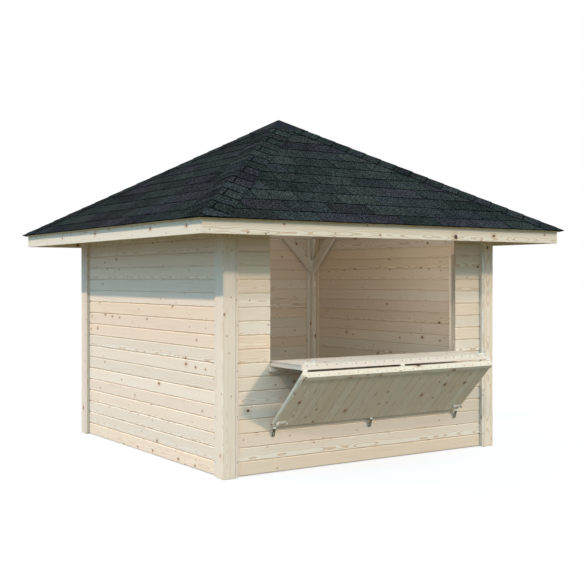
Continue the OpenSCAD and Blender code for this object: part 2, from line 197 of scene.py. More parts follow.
def srgb(red, green, blue):
    """Linear colour of an 8 bit display colour."""
    linear = []
    for value in (red, green, blue):
        c = value / 255
        linear.append(c / 12.92 if c <= 0.04045 else ((c + 0.055) / 1.055) ** 2.4)
    return (*linear, 1.0)


# Materials


class Shader:
    """Short helpers that add and join nodes of one material."""

    def __init__(self, name):
        self.material = bpy.data.materials.new(name)
        self.material.use_nodes = True
        self.tree = self.material.node_tree
        self.tree.nodes.clear()
        self.out = self.add("ShaderNodeOutputMaterial")

    def add(self, kind, **settings):
        node = self.tree.nodes.new(kind)
        for key, value in settings.items():
            setattr(node, key, value)
        return node

    def put(self, socket, value):
        if isinstance(value, bpy.types.NodeSocket):
            self.tree.links.new(value, socket)
        else:
            socket.default_value = value

    def math(self, operation, *values):
        node = self.add("ShaderNodeMath", operation=operation)
        for socket, value in zip(node.inputs, values):
            self.put(socket, value)
        return node.outputs[0]

    def vector(self, operation, *values):
        node = self.add("ShaderNodeVectorMath", operation=operation)
        for socket, value in zip(node.inputs, values):
            self.put(socket, value)
        return node.outputs[0]

    def split(self, vector):
        node = self.add("ShaderNodeSeparateXYZ")
        self.put(node.inputs[0], vector)
        return node.outputs

    def join(self, x, y, z):
        node = self.add("ShaderNodeCombineXYZ")
        for socket, value in zip(node.inputs, (x, y, z)):
            self.put(socket, value)
        return node.outputs[0]

    def noise(self, vector, scale, detail=2.0, rough=0.5):
        node = self.add("ShaderNodeTexNoise")
        self.put(node.inputs["Vector"], vector)
        node.inputs["Scale"].default_value = scale
        node.inputs["Detail"].default_value = detail
        node.inputs["Roughness"].default_value = rough
        return node.outputs["Fac"]

    def step(self, value, low, high, start=0.0, end=1.0):
        """Smooth step of value from low to high, given as start to end."""
        node = self.add("ShaderNodeMapRange", interpolation_type="SMOOTHSTEP")
        for socket, number in zip(node.inputs, (value, low, high, start, end)):
            self.put(socket, number)
        return node.outputs[0]

    def mix(self, factor, a, b, blend="MIX"):
        node = self.add("ShaderNodeMix", data_type="RGBA", blend_type=blend)
        self.put(node.inputs[0], factor)
        self.put(node.inputs[6], a)
        self.put(node.inputs[7], b)
        return node.outputs[2]

    def ramp(self, value, stops):
        node = self.add("ShaderNodeValToRGB")
        self.put(node.inputs[0], value)
        elements = node.color_ramp.elements
        while len(elements) < len(stops):
            elements.new(0.5)
        for element, (place, colour) in zip(elements, stops):
            element.position = place
            element.color = colour
        return node.outputs[0]

    def place(self):
        return self.add("ShaderNodeTexCoord").outputs["Object"]

    def attribute(self, name):
        return self.add("ShaderNodeAttribute", attribute_name=name).outputs["Vector"]

    def bump(self, height, strength, distance):
        node = self.add("ShaderNodeBump")
        node.inputs["Strength"].default_value = strength
        node.inputs["Distance"].default_value = distance
        self.put(node.inputs["Height"], height)
        return node.outputs[0]

    def surface(self, **inputs):
        node = self.add("ShaderNodeBsdfPrincipled")
        for name, value in inputs.items():
            self.put(node.inputs[name.replace("_", " ")], value)
        self.put(self.out.inputs["Surface"], node.outputs[0])
        return self.material


def pine(name, pale, warm, pink, knot_size=1.0, variety=1.0):
    """Raw planed pine. The mesh's grain attribute runs along, across and into each piece.

    The board attribute holds each piece's chance values. The face attribute places the knots, and
    keeps them off end grain. Variety scales how much the pieces differ in tone.
    """
    knots_per_metre = 8.5
    knot_stretch = 0.72
    small_knot = 0.0030 * knot_size
    large_knot = 0.0090 * knot_size
    rings_per_metre = 150.0
    ring_drift = 0.030
    ring_waver = 0.032
    ring_ripple = 0.003
    ring_round_knot = 0.004
    s = Shader(name)
    grain = s.attribute("grain")
    along, across, into = s.split(grain)
    chance, shade, knotty = s.split(s.attribute("board"))
    face_along, face_across, side = s.split(s.attribute("face"))

    knots = s.add("ShaderNodeTexVoronoi", voronoi_dimensions="2D", feature="F1")
    s.put(knots.inputs["Vector"], s.join(s.math("MULTIPLY", face_along, knot_stretch), face_across, 0.0))
    knots.inputs["Scale"].default_value = knots_per_metre
    luck, size, tone = s.split(knots.outputs["Color"])
    radius = s.math("MULTIPLY_ADD", s.math("POWER", size, 4.0), large_knot, small_knot)
    ratio = s.math("DIVIDE", s.math("DIVIDE", knots.outputs["Distance"], knots_per_metre), radius)
    present = s.math("GREATER_THAN", luck, s.math("MULTIPLY_ADD", knotty, 0.30, 0.54))
    present = s.math("MULTIPLY", present, side)
    core = s.math("MULTIPLY", s.step(ratio, 0.80, 1.15, 1.0, 0.0), present)
    halo = s.math("MULTIPLY", s.step(ratio, 1.0, 3.6, 1.0, 0.0), present)

    drift = s.noise(s.vector("MULTIPLY", grain, (0.9, 5.0, 5.0)), 1.0, 2.0)
    ripple = s.noise(s.vector("MULTIPLY", grain, (7.0, 30.0, 30.0)), 1.0, 1.0)
    across_squared = s.math("MULTIPLY", across, across)
    into_squared = s.math("MULTIPLY", into, into)
    radial = s.math("SQRT", s.math("ADD", across_squared, into_squared))
    waver = s.noise(s.vector("MULTIPLY", grain, (3.4, 4.0, 4.0)), 1.0, 1.0)
    depth = s.math("MULTIPLY_ADD", drift, ring_drift, radial)
    depth = s.math("MULTIPLY_ADD", waver, ring_waver, depth)
    depth = s.math("MULTIPLY_ADD", ripple, ring_ripple, depth)
    depth = s.math("MULTIPLY_ADD", halo, ring_round_knot, depth)
    wave = s.math("SINE", s.math("MULTIPLY", depth, rings_per_metre * math.tau))
    late = s.math("MULTIPLY", s.step(wave, 0.50, 0.86), s.step(wave, 0.90, 1.0, 1.0, 0.45))
    figure = s.math("MULTIPLY_ADD", knotty, 0.50, 0.40)

    fibre = s.noise(s.vector("MULTIPLY", grain, (5.0, 420.0, 420.0)), 1.0, 3.0, 0.6)
    streak = s.noise(s.vector("MULTIPLY", grain, (1.6, 60.0, 60.0)), 1.0, 2.0)
    cloud = s.noise(s.vector("MULTIPLY", grain, (2.2, 12.0, 12.0)), 1.0, 2.0)
    resin = s.step(s.noise(s.vector("MULTIPLY", grain, (3.5, 95.0, 95.0)), 1.0, 1.0), 0.68, 0.78)

    tint = s.ramp(chance, [
        (0.0, pale), (0.34, pale), (0.54, warm), (0.70, warm), (0.84, pink), (1.0, pale),
    ])
    tint = s.mix(s.math("MULTIPLY", s.step(cloud, 0.42, 0.72), 0.26), tint, warm)
    dark_ring = s.mix(1.0, tint, srgb(214, 180, 142), "MULTIPLY")
    colour = s.mix(s.math("MULTIPLY", late, figure), tint, dark_ring)
    dark_streak = s.mix(1.0, colour, srgb(236, 220, 200), "MULTIPLY")
    colour = s.mix(s.math("MULTIPLY", s.step(streak, 0.50, 0.80), 0.35), colour, dark_streak)
    colour = s.mix(s.math("MULTIPLY", resin, 0.20), colour, srgb(205, 150, 98))
    colour = s.mix(s.math("MULTIPLY", halo, 0.42), colour, srgb(190, 140, 92))
    knot_brown = s.mix(tone, srgb(56, 37, 24), srgb(132, 86, 50))
    colour = s.mix(core, colour, knot_brown)
    level = s.math("MULTIPLY_ADD", shade, 0.10 * variety, 0.98 - 0.05 * variety)
    level = s.math("MULTIPLY", level, s.math("MULTIPLY_ADD", fibre, 0.16, 0.92))
    lit = s.vector("SCALE", colour)
    s.put(lit.node.inputs["Scale"], level)

    relief = s.math("MULTIPLY_ADD", late, 0.5, fibre)
    relief = s.math("SUBTRACT", relief, s.math("MULTIPLY", core, 0.6))
    rough = s.math("MULTIPLY_ADD", fibre, 0.16, 0.52)
    return s.surface(Base_Color=lit, Roughness=rough, Normal=s.bump(relief, 0.22, 0.0006))


def felt():
    """Bitumen shingle with mineral granules. The board attribute sets the tone of each tab.

    The side slopes are drawn darker than the front and back ones; this is painted shade, for how the
    light falls on them.
    """
    s = Shader("felt")
    place = s.place()
    chance, shade, _ = s.split(s.attribute("board"))
    tone = s.ramp(chance, [
        (0.0, srgb(39, 44, 46)), (0.25, srgb(41, 48, 46)), (0.45, srgb(41, 46, 48)),
        (0.65, srgb(46, 51, 49)), (0.85, srgb(44, 45, 50)), (1.0, srgb(39, 46, 45)),
    ])
    patch = s.noise(place, 7.0, 3.0)
    mottle = s.noise(place, 84.0, 2.0, 0.6)
    specks = s.noise(place, 165.0, 1.0)
    grains = s.noise(place, 420.0, 2.0, 0.7)
    # Painted shade: felt on the side slopes is drawn darker.
    facing = s.split(s.add("ShaderNodeNewGeometry").outputs["True Normal"])[0]
    side_slope_shade = s.step(s.math("ABSOLUTE", facing), 0.20, 0.45)
    tone = s.mix(side_slope_shade, tone, s.mix(1.0, tone, SIDE_SLOPE_PAINTED_SHADE, "MULTIPLY"))
    level = s.math("MULTIPLY_ADD", patch, 0.70, 0.52)
    level = s.math("MULTIPLY", level, s.math("MULTIPLY_ADD", shade, 0.52, 0.76))
    level = s.math("MULTIPLY", level, s.step(mottle, 0.43, 0.61, 0.28, 1.82))
    level = s.math("MULTIPLY", level, s.step(specks, 0.60, 0.69, 0.96, 2.00))
    level = s.math("MULTIPLY", level, s.step(grains, 0.25, 0.75, 0.70, 1.30))
    colour = s.vector("SCALE", tone)
    s.put(colour.node.inputs["Scale"], level)
    relief = s.math("ADD", grains, s.math("MULTIPLY", mottle, 1.5))
    relief_normal = s.bump(relief, 0.55, 0.0016)
    return s.surface(Base_Color=colour, Roughness=0.93, Specular_IOR_Level=0.0, Normal=relief_normal)


def cap_sheet():
    """Smooth dark sheet of the apex cap."""
    s = Shader("cap_sheet")
    place = s.place()
    cloud = s.noise(place, 9.0, 3.0)
    fine = s.noise(place, 300.0, 2.0)
    colour = s.mix(cloud, srgb(17, 23, 31), srgb(23, 29, 37))
    rough = s.math("MULTIPLY_ADD", fine, 0.2, 0.55)
    relief = s.bump(fine, 0.08, 0.0004)
    return s.surface(Base_Color=colour, Roughness=rough, Specular_IOR_Level=0.02, Normal=relief)


def bitumen():
    """Nearly black bitumen: bare bitumen on the shingles' edges, both bitumen and painted shade in the
    slots, and painted shade under the hip caps' butts.
    """
    s = Shader("bitumen")
    place = s.place()
    cloud = s.noise(place, 60.0, 2.0)
    colour = s.mix(cloud, srgb(3, 4, 5), srgb(8, 9, 10))
    return s.surface(Base_Color=colour, Roughness=0.9, Specular_IOR_Level=0.0)


def zinc():
    """Galvanised steel with a faint spangle."""
    s = Shader("zinc")
    place = s.place()
    spangle = s.add("ShaderNodeTexVoronoi", feature="F1")
    s.put(spangle.inputs["Vector"], place)
    spangle.inputs["Scale"].default_value = 160.0
    flake = s.split(spangle.outputs["Color"])[0]
    dull = s.noise(place, 45.0, 3.0)
    colour = s.mix(flake, srgb(240, 236, 226), srgb(252, 249, 241))
    colour = s.mix(s.math("MULTIPLY", s.step(dull, 0.45, 0.75), 0.5), colour, srgb(206, 205, 196))
    rough = s.math("MULTIPLY_ADD", flake, 0.14, s.math("MULTIPLY_ADD", dull, 0.20, 0.24))
    relief = s.bump(dull, 0.06, 0.0004)
    return s.surface(Base_Color=colour, Metallic=0.15, Roughness=rough, Normal=relief)


def strap_steel():
    """Dark olive steel of the hasps, partly painted shade, with a painted highlight: above a set height
    their tops are near white.
    """
    s = Shader("strap_steel")
    place = s.place()
    dull = s.noise(place, 60.0, 3.0)
    colour = s.mix(s.step(dull, 0.35, 0.65), srgb(58, 62, 40), srgb(84, 88, 62))
    # Painted highlight: the hasps' tops are near white, as if lit.
    painted_highlight = s.step(s.split(place)[2], HASP_HIGHLIGHT_Z - 0.004, HASP_HIGHLIGHT_Z)
    colour = s.mix(painted_highlight, colour, srgb(246, 243, 235))
    rough = s.math("MULTIPLY_ADD", dull, 0.2, 0.22)
    relief = s.bump(dull, 0.06, 0.0004)
    return s.surface(Base_Color=colour, Metallic=0.3, Roughness=rough, Normal=relief)


def nail_steel():
    """Dull heads of nails sunk in the wood."""
    s = Shader("nail_steel")
    place = s.place()
    dull = s.noise(place, 220.0, 2.0)
    colour = s.mix(dull, srgb(66, 58, 50), srgb(112, 104, 95))
    return s.surface(Base_Color=colour, Metallic=0.6, Roughness=0.5)


BOARDS = pine("pine_boards", srgb(235, 226, 210), srgb(236, 219, 195), srgb(236, 221, 204))
# The counter and flap are the same boards: the counter's paler tint is painted light, and the flap's
# darker, greyer tint is painted shade.
COUNTER_PAINTED_LIGHT = pine(
    "pine_counter_painted_light", srgb(246, 238, 226), srgb(245, 233, 217), srgb(246, 233, 222),
    knot_size=1.2, variety=0.6,
)
FLAP_PAINTED_SHADE = pine(
    "pine_flap_painted_shade", srgb(229, 222, 204), srgb(229, 218, 196), srgb(228, 218, 200),
    knot_size=1.9, variety=0.35,
)
TIMBER = pine("pine_timber", srgb(231, 225, 213), srgb(234, 219, 198), srgb(231, 219, 206))
FASCIA = pine(
    "pine_fascia", srgb(231, 227, 212), srgb(232, 222, 200), srgb(231, 223, 206), knot_size=1.8
)
# Painted shade: the deck boards are tinted dark olive for the shade under the eaves.
DECKING_PAINTED_SHADE = pine("pine_decking_painted_shade", srgb(198, 191, 154), srgb(190, 179, 138), srgb(188, 178, 141))
FELT = felt()
CAP = cap_sheet()
BITUMEN_AND_SHADE = bitumen()
ZINC = zinc()
STRAP = strap_steel()
NAIL = nail_steel()


# Meshes


class Stock:
    """Pieces that share one mesh, each with its own grain direction and chance values."""

    def __init__(self, seed):
        self.bm = bmesh.new()
        self.tag = self.bm.verts.layers.int.new("piece")
        self.axes = []
        self.twins = {}
        self.chance = random.Random(seed)

    def piece(self, points, faces, axes, rims=0):
        """Adds one closed piece. The columns of axes run along, across and into the grain.

        The first faces, as many as rims says, take the second material.
        """
        made = []
        for point in points:
            vert = self.bm.verts.new(point)
            vert[self.tag] = len(self.axes)
            made.append(vert)
        for index, face in enumerate(faces):
            self.bm.faces.new([made[i] for i in face]).material_index = 1 if index < rims else 0
        self.axes.append(axes)
        return made

    def prism(self, section, ends, axes):
        """Piece with one section of (across, into) points. Ends(across, into) gives two places along."""
        count = len(section)
        points = []
        for end in (0, 1):
            for v, w in section:
                points.append(axes @ Vector((ends(v, w)[end], v, w)))
        return self.piece(points, closed_faces(count), axes)

    def bar(self, size, axes, ease):
        """Box of (along, across, into) size from the origin of axes, with eased edges."""
        length, width, depth = size
        section = [(0, 0), (width, 0), (width, depth), (0, depth)]
        made = self.prism(section, lambda v, w: (0, length), axes)
        edges = {edge for vert in made for edge in vert.link_edges}
        if ease:
            round_off(self.bm, list(edges), ease)

    def finish(self, name, material, slot, body, *nodes):
        """Object of all pieces, riding on its body and standing for the nodes."""
        bm = self.bm
        bmesh.ops.recalc_face_normals(bm, faces=bm.faces)
        grain = []
        board = []
        shifts = []
        for _ in self.axes:
            pith = self.chance.uniform(*PITH_DEPTH) * self.chance.choice((-1, 1))
            along = self.chance.uniform(0, GRAIN_RUN)
            aside = self.chance.uniform(-GRAIN_ASIDE, GRAIN_ASIDE)
            chances = [self.chance.random() for _ in range(3)]
            shifts.append((Vector((along, aside, pith)), chances))
        for index, twin in self.twins.items():
            shifts[index] = shifts[twin]
        inverse = [axes.inverted() for axes in self.axes]
        for vert in bm.verts:
            index = vert[self.tag]
            shift, chances = shifts[index]
            grain.extend(inverse[index] @ vert.co + shift)
            board.extend(chances)
        face_places = []
        for face in bm.faces:
            index = face.verts[0][self.tag]
            normal = (inverse[index].to_3x3() @ face.normal).normalized()
            side = 0.0 if abs(normal.x) > END_GRAIN else 1.0
            narrow = abs(normal.y) > abs(normal.z)
            for vert in face.verts:
                place = inverse[index] @ vert.co + shifts[index][0]
                beside = place.z + NARROW_FACE_SHIFT if narrow else place.y
                face_places.extend((place.x, beside, side))
        mesh = bpy.data.meshes.new(name)
        bm.to_mesh(mesh)
        bm.free()
        for label, values in (("grain", grain), ("board", board)):
            mesh.attributes.new(label, "FLOAT_VECTOR", "POINT").data.foreach_set("vector", values)
        mesh.attributes.new("face", "FLOAT_VECTOR", "CORNER").data.foreach_set("vector", face_places)
        mesh.attributes.remove(mesh.attributes["piece"])
        return present(mesh, name, material, slot, body, *nodes)


def closed_faces(count):
    """Faces between two rings of count points each, and then the two ends."""
    faces = [[i, (i + 1) % count, count + (i + 1) % count, count + i] for i in range(count)]
    faces.append(list(range(count)))
    faces.append(list(range(2 * count - 1, count - 1, -1)))
    return faces


def round_off(bm, edges, ease, clamp_overlap=False):
    """Eases edges with a small round."""
    bmesh.ops.bevel(
        bm, geom=edges, offset=ease, segments=2, profile=0.5, affect="EDGES", clamp_overlap=clamp_overlap
    )


def present(mesh, name, material, slot, body, *nodes):
    """Puts a mesh into the scene as a piece of the object."""
    piece = bpy.data.objects.new(name, mesh)
    mesh.materials.append(material)
    scene.collection.objects.link(piece)
    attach(piece, body)
    if nodes:
        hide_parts(*nodes)
    return piece


def islands(bm):
    """Lists of joined vertices, one list for each separate solid."""
    left = set(bm.verts)
    groups = []
    while left:
        heap = [left.pop()]
        group = []
        while heap:
            vert = heap.pop()
            group.append(vert)
            for edge in vert.link_edges:
                other = edge.other_vert(vert)
                if other in left:
                    left.remove(other)
                    heap.append(other)
        groups.append(group)
    return sorted(groups, key=lambda group: tuple(min(v.co[i] for v in group) for i in range(3)))


def grain_axes(group):
    """Axes of a straight timber: along its longest edge, into its widest face beside that.

    Of edges or faces of one size the last in GRAIN_ORDER counts, so each run gives the same grain.
    """
    def rank(part):
        middle = sum((vert.co for vert in part.verts), Vector()) / len(part.verts)
        return round(middle.dot(GRAIN_ORDER), 4)

    edges = {edge for vert in group for edge in vert.link_edges}
    longest = max(edges, key=lambda edge: (round(edge.calc_length(), 4), rank(edge)))
    along = (longest.verts[1].co - longest.verts[0].co).normalized()
    if along.dot(GRAIN_ORDER) < 0:
        along = -along
    faces = {face for vert in group for face in vert.link_faces}
    beside = [face for face in faces if abs(face.normal.dot(along)) < BESIDE]
    into = max(beside, key=lambda face: (round(face.calc_area(), 4), rank(face))).normal
    into = (into - along * into.dot(along)).normalized()
    across = into.cross(along)
    axes = Matrix((along, across, into)).transposed().to_4x4()
    middle = sum((vert.co for vert in group), Vector()) / len(group)
    return Matrix.Translation(middle) @ axes


def dress(node, material, slot, body, ease, seed):
    """Copy of a CAD node with eased edges, and with grain along each of its solids."""
    stock = Stock(seed)
    bm = stock.bm
    bm.from_mesh(frame["nodes"][node].data)
    stock.tag = bm.verts.layers.int.get("piece") or bm.verts.layers.int.new("piece")
    bmesh.ops.remove_doubles(bm, verts=bm.verts, dist=WELD)
    bmesh.ops.dissolve_limit(bm, angle_limit=FLAT_ANGLE, verts=bm.verts, edges=bm.edges)
    for group in islands(bm):
        for vert in group:
            vert[stock.tag] = len(stock.axes)
        stock.axes.append(grain_axes(group))
    sharp = [edge for edge in bm.edges if edge.calc_face_angle(0) > SHARP_ANGLE]
    round_off(bm, sharp, ease, clamp_overlap=True)
    name = node + ("_finish" if slot == "zinc" else "_timber")
    stock.finish(name, material, slot, body, node)


# Sides of the stall. Side 0 is the front, and each turn goes a quarter round to the right.


def quarter(turn):
    return Matrix.Rotation(math.radians(90) * turn, 4, "Z")


def columns(along, across, into, origin):
    """Matrix that takes (along, across, into) to the frame."""
    axes = Matrix((along, across, into)).transposed().to_4x4()
    return Matrix.Translation(origin) @ axes


RIGHT = Vector((1, 0, 0))
BACK = Vector((0, 1, 0))
UP = Vector((0, 0, 1))


def matched_board(cover, depth, groove, tongue=True, gap=BOARD_GAP, crest=None):
    """Section of a tongued board: across its cover and into its depth, with groove and crest bevels."""
    top = cover - gap
    crest = crest or groove
    low = depth / 2 - TONGUE_T / 2
    high = depth / 2 + TONGUE_T / 2
    deep = TONGUE_L + TONGUE_SLACK
    section = [(0, groove), (groove, 0), (top - crest, 0), (top, crest)]
    if tongue:
        section += [(top, low), (top + TONGUE_L, low), (top + TONGUE_L, high), (top, high)]
    section += [(top, depth - crest), (top - crest, depth), (groove, depth), (0, depth - groove)]
    section += [(0, high + TONGUE_SLACK), (deep, high + TONGUE_SLACK)]
    section += [(deep, low - TONGUE_SLACK), (0, low - TONGUE_SLACK)]
    return section


# Walls


def wall(name, turn, span, height, hole, seed, *nodes):
    """Wall of level matched boards. Span is along the wall, and hole is (span, height) or None."""
    stock = Stock(seed)
    outside, inside = wall_faces()
    depth = outside - inside

    def row(start, end, low, high, tongue):
        if high - low < 3 * WALL_GROOVE or end - start < WALL_GROOVE:
            return
        section = matched_board(high - low, depth, WALL_GROOVE, tongue, WALL_GAP, WALL_CREST)
        axes = quarter(turn) @ columns(RIGHT, UP, BACK, Vector((0, -outside, low)))
        stock.prism(section, lambda v, w: (start, end), axes)

    low = height[0]
    while low < height[1] - BOARD_GAP:
        high = min(low + ROW, height[1])
        tongue = high < height[1]
        if hole is None or high <= hole[1][0] or low >= hole[1][1]:
            row(span[0], span[1], low, high, tongue)
        else:
            row(span[0], hole[0][0], low, high, tongue)
            row(hole[0][1], span[1], low, high, tongue)
            if low < hole[1][0]:
                row(hole[0][0], hole[0][1], low, hole[1][0], False)
            if high > hole[1][1]:
                row(hole[0][0], hole[0][1], hole[1][1], high, tongue)
        low = high
    stock.finish(name, BOARDS, "pine_boards", "stall", *nodes)


def wall_faces():
    """Distances of the walls' outer and inner faces from the middle."""
    low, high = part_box("left_wall")
    return -low.x, -high.x


def walls():
    low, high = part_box("left_wall")
    span = (low.y, high.y)
    height = (low.z, high.z)
    wall("left_wall_boards", 3, span, height, None, LEFT_WALL_SEED, "left_wall")
    wall("right_wall_boards", 1, span, height, None, RIGHT_WALL_SEED, "right_wall")
    door_low, door_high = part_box("door_frame")
    doorway = ((-door_high.x, -door_low.x), (door_low.z - ROW, door_high.z))
    wall("back_wall_boards", 2, span, height, doorway, BACK_WALL_SEED, "back_wall")
    below_low, below_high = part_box("front_wall_below")
    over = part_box("front_wall_over")[0]
    opening = ((below_low.x, below_high.x), (below_high.z, over.z))
    parts = ["front_wall_" + part for part in ("left", "right", "below", "over")]
    wall("front_wall_boards", 0, span, height, opening, FRONT_WALL_SEED, *parts)


# Roof


class Slope:
    """One slope: x along the eave, s down the slope from the apex, h out from the shingles' face."""

    def __init__(self, turn):
        self.turn = quarter(turn)
        self.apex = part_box("shingles_front")[1].z
        self.eave = -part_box("shingles_front")[0].y / math.cos(PITCH)
        self.normal = Vector((0, -math.sin(PITCH), math.cos(PITCH)))
        self.down = Vector((0, -math.cos(PITCH), -math.sin(PITCH)))

    def point(self, x, s, h):
        return self.turn @ (Vector((x, 0, self.apex)) + self.down * s + self.normal * h)

    def axes(self):
        return self.turn @ columns(RIGHT, self.down, -self.normal, Vector((0, 0, self.apex)))

    def reach(self, s, h):
        """Distance from the middle of the slope to the hip."""
        return s * math.cos(PITCH) + h * math.sin(PITCH)


def clip(outline, inside):
    """Part of a convex outline where inside(point) >= 0, for a linear inside."""
    kept = []
    for a, b in zip(outline, outline[1:] + outline[:1]):
        fa, fb = inside(a), inside(b)
        if fa >= 0:
            kept.append(a)
        if fa * fb < 0:
            t = fa / (fa - fb)
            kept.append((a[0] + (b[0] - a[0]) * t, a[1] + (b[1] - a[1]) * t))
    return kept


def sheet(stock, slope, outline, top, thick, dark_rim=True, twin=None):
    """Flat sheet on a slope. Outline is convex in (x, s), and top(x, s) is its face above the shingles.

    Returns the sheet's index. A twin's index gives a sheet the tone of that other sheet.
    """
    cos = math.cos(PITCH)
    for side in (-1, 1):
        outline = clip(outline, lambda p, side=side: p[1] * cos - side * p[0])
    outline = clip(outline, lambda p: slope.eave - p[1])
    if len(outline) < 3:
        return twin
    points = []
    for layer in (0, 1):
        for x, s in outline:
            h = top(x, s) - thick * layer
            at_hip = abs(abs(x) - s * cos) < ON_HIP
            mitre = math.copysign(slope.reach(s, h), x) if at_hip else x
            points.append(slope.point(mitre, s, h))
    count = len(outline)
    stock.piece(points, closed_faces(count), slope.axes(), count if dark_rim else 0)
    if twin is not None:
        stock.twins[len(stock.axes) - 1] = twin
    return len(stock.axes) - 1


def shingles(name, turn, node):
    """Courses of square tabs, each course lapped over the one below it."""
    stock = Stock(SHINGLE_SEED + turn)
    slope = Slope(turn)
    chance = random.Random(SHINGLE_LAY_SEED + turn)
    butt = slope.eave
    course = 0
    while butt > APEX_CAP_S * UNDER_APEX_CAP:
        exposed = EAVE_COURSE if course == 0 else COURSE
        head = max(butt - exposed - COURSE_LAP, TOP_COURSE)
        thick = STARTER_T if course == 0 else SHINGLE_T
        offset = TAB_PHASE + (TAB_W / 2 if course % 2 else 0)
        first = math.floor((-slope.reach(butt, 0) - offset) / TAB_W)
        last = math.ceil((slope.reach(butt, 0) - offset) / TAB_W)
        for index in range(first, last):
            left = offset + index * TAB_W + TAB_SLOT / 2
            right = offset + (index + 1) * TAB_W - TAB_SLOT / 2
            curl = [chance.uniform(*TAB_CURL) for _ in range(2)]
            skew = [chance.uniform(-TAB_SKEW, TAB_SKEW) for _ in range(2)]
            low_left = min(butt + skew[0], slope.eave)
            low_right = min(butt + skew[1], slope.eave)

            def top(x, s, butt=butt, head=head, left=left, right=right, curl=curl):
                fall = (butt - s) / (butt - head)
                across = (x - left) / (right - left)
                lift = curl[0] + (curl[1] - curl[0]) * across
                return TAB_TOP + lift * (1 - fall) - fall * TAB_FALL

            outline = [(left, head), (right, head), (right, low_right), (left, low_left)]
            sheet(stock, slope, outline, top, thick)
        butt -= exposed
        course += 1
    piece = stock.finish(name, FELT, "roof_felt", "stall", node)
    piece.data.materials.append(BITUMEN_AND_SHADE)


def underlay(stock, slope):
    """Thin dark sheet under the tabs that shows in their slots, as bare bitumen and as painted shade of
    the slots.
    """
    wide = slope.reach(slope.eave, 0)
    edge = slope.eave - UNDERLAY_INSET
    outline = [(-wide, 0.0), (wide, 0.0), (wide, edge), (-wide, edge)]
    sheet(stock, slope, outline, lambda x, s: UNDERLAY_TOP, UNDERLAY_T)


def hip_caps(slots):
    """Lapped caps along the hips, on a dark bed of bitumen that shows under their butts.

    Every second cap has the slot of its strip beside the fold, lined with a dark strip that is both
    bitumen and painted shade.
    """
    stock = Stock(HIP_CAP_SEED)
    chance = random.Random(HIP_LAY_SEED)
    hip_rise = math.sqrt(2 + math.tan(PITCH) ** 2)

    def slot_top(x, s):
        return CAP_TOP - CAP_SLOT_DROP

    for turn in range(4):
        slopes = (Slope(turn), Slope((turn + 1) % 4))
        slope = slopes[0]
        along = Vector((1, -1, -math.tan(PITCH))) / hip_rise
        hip = (along.x, along.dot(slope.down))
        beside = slope.normal.cross(along)
        if beside.x > 0:
            beside = -beside
        wing = (beside.x, beside.dot(slope.down))
        length = slope.eave * math.cos(PITCH) * hip_rise
        count = math.ceil((length - APEX_CAP_S) / CAP_EXPOSURE) + 1
        for index in range(count):
            butt = length - (index - CAP_STARTS[turn]) * CAP_EXPOSURE
            head = butt - CAP_EXPOSURE - CAP_LAP
            if butt < APEX_CAP_S * UNDER_APEX_CAP or head < TOP_CAP:
                continue
            slotted = index % 2 == 0
            lift = chance.uniform(-CAP_LIFT, CAP_LIFT)
            for mirrored in (False, True):
                tilt = chance.uniform(-CAP_TILT, CAP_TILT)
                wide = CAP_HALF_W + chance.uniform(*CAP_WIDTHS)

                def spot(t, d):
                    x = hip[0] * t + wing[0] * d
                    s = hip[1] * t + wing[1] * d
                    return (-x if mirrored else x, s)

                def top(x, s):
                    t = abs(x) * hip[0] + s * hip[1]
                    fall = (butt - t) / (butt - head)
                    return CAP_TOP + lift - fall * CAP_FALL

                def strip(near, far, skew=0.0):
                    return [spot(head, near), spot(butt, near), spot(butt + skew, far), spot(head, far)]

                side = slopes[1 if mirrored else 0]
                # Painted shade: wings on the front and back slopes get dark rims and a dark bed under
                # the butt.
                dark = (turn + mirrored) % 2 == 0
                if slotted and mirrored:
                    near = CAP_SLOT_AT - CAP_SLOT / 2
                    far = CAP_SLOT_AT + CAP_SLOT / 2
                    tab = sheet(stock, side, strip(0.0, near), top, CAP_T, dark)
                    sheet(stock, side, strip(far, wide, tilt), top, CAP_T, dark, tab)
                    # The dark strip in the slot is bitumen and painted shade.
                    sheet(slots, side, strip(near, far), slot_top, CAP_SLOT_T)
                else:
                    sheet(stock, side, strip(0.0, wide, tilt), top, CAP_T, dark)
                if dark:
                    shade_bed = [spot(butt - CAP_SHADE_BED, 0.0), spot(butt + CAP_SHADE_BED, 0.0)]
                    shade_bed += [spot(butt + CAP_SHADE_BED + tilt, wide), spot(butt - CAP_SHADE_BED, wide)]
                    sheet(slots, side, shade_bed, slot_top, CAP_SLOT_T)
    piece = stock.finish("hip_cap_tabs", FELT, "roof_felt", "stall", "hip_caps")
    piece.data.materials.append(BITUMEN_AND_SHADE)


def apex_cap():
    """Plain four-sided cap with its edge turned down on the shingles."""
    stock = Stock(APEX_CAP_SEED)
    for turn in range(4):
        slope = Slope(turn)
        wide = slope.reach(APEX_CAP_S, 0)
        outline = [(-wide, 0.0), (wide, 0.0), (wide, APEX_CAP_S), (-wide, APEX_CAP_S)]
        sheet(stock, slope, outline, lambda x, s: APEX_CAP_TOP, APEX_CAP_T)
        fold_s = APEX_CAP_S - APEX_HEM_W
        hem = [(-wide, fold_s), (wide, fold_s), (wide, APEX_CAP_S), (-wide, APEX_CAP_S)]
        sheet(stock, slope, hem, lambda x, s: APEX_CAP_TOP - APEX_CAP_T, APEX_HEM_T)
    piece = stock.finish("apex_cap_sheet", CAP, "roof_felt", "stall", "apex_cap")
    piece.data.materials.append(BITUMEN_AND_SHADE)


